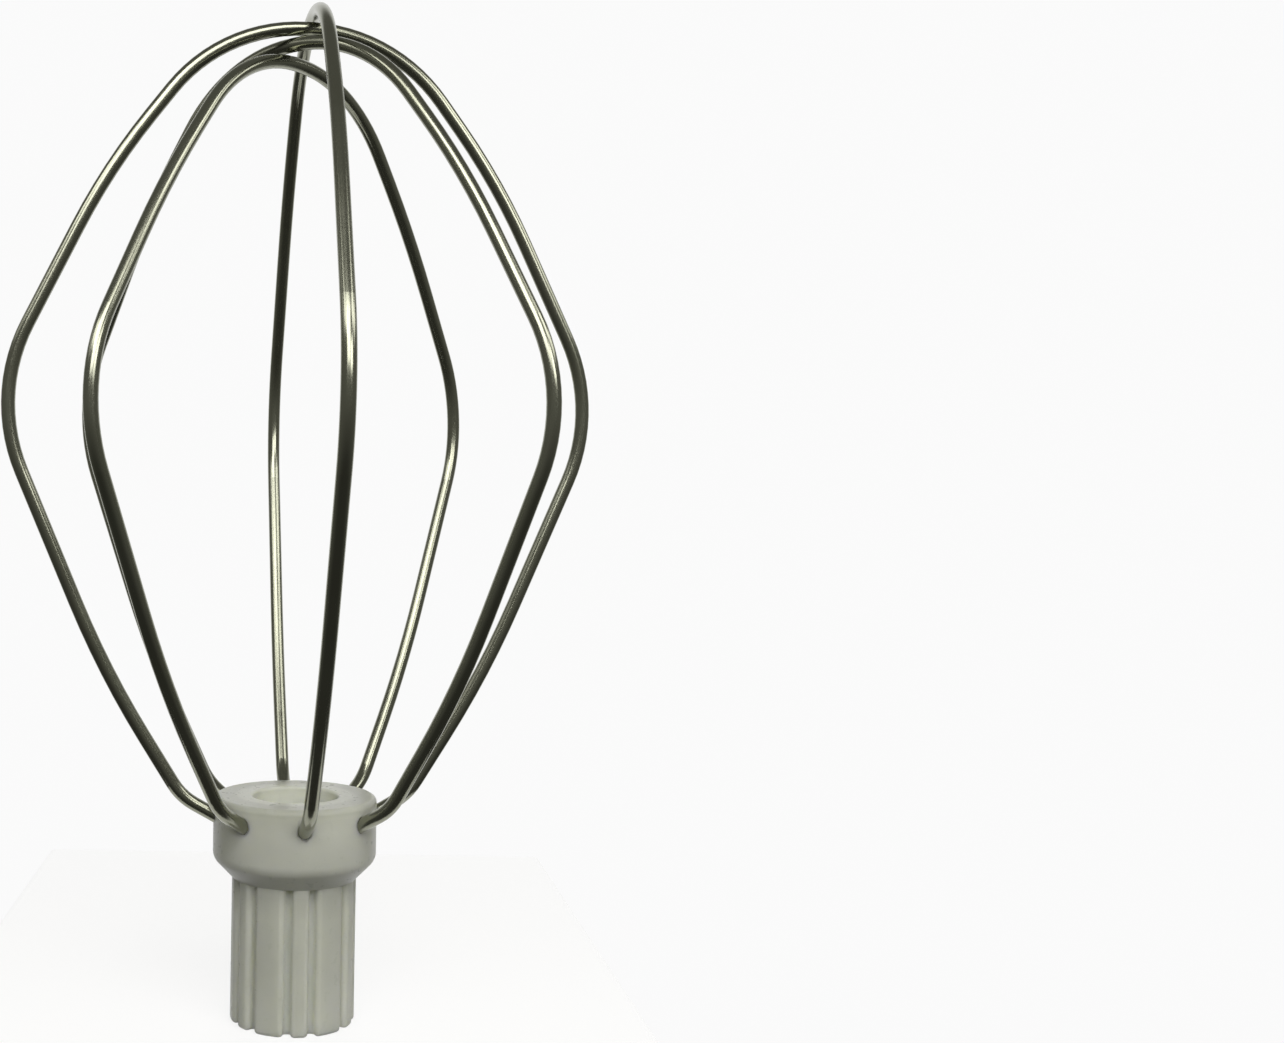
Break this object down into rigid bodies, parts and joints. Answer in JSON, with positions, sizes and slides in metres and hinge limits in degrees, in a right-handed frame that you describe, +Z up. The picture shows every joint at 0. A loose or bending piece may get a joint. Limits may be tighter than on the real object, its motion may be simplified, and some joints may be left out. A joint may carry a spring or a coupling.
{
  "type": "stand mixer wire whisk",
  "caption": "Balloon whisk for a stand mixer: polished steel wire loops rise from a white plastic hub with a fluted drive shank and cross at the crown.",
  "frame": {"origin": "centre of the shank's flat end, on the hub's axis", "axes": "+Z up the hub's axis from the shank's end to the crown; +Y in the plane of wire_loop_1, towards the leg at the back; +X square to both"},
  "size_m": [0.0982, 0.0984, 0.1675],
  "materials": {
    "hub_plastic": "milky white moulding, half gloss",
    "wire_steel": "polished drawn wire"
  },
  "bodies": {
    "root": {"hub": "hub_plastic", "wire_loop_1": "wire_steel", "wire_loop_2": "wire_steel", "wire_loop_3": "wire_steel", "wire_loop_4": "wire_steel"}
  },
  "joints": []
}
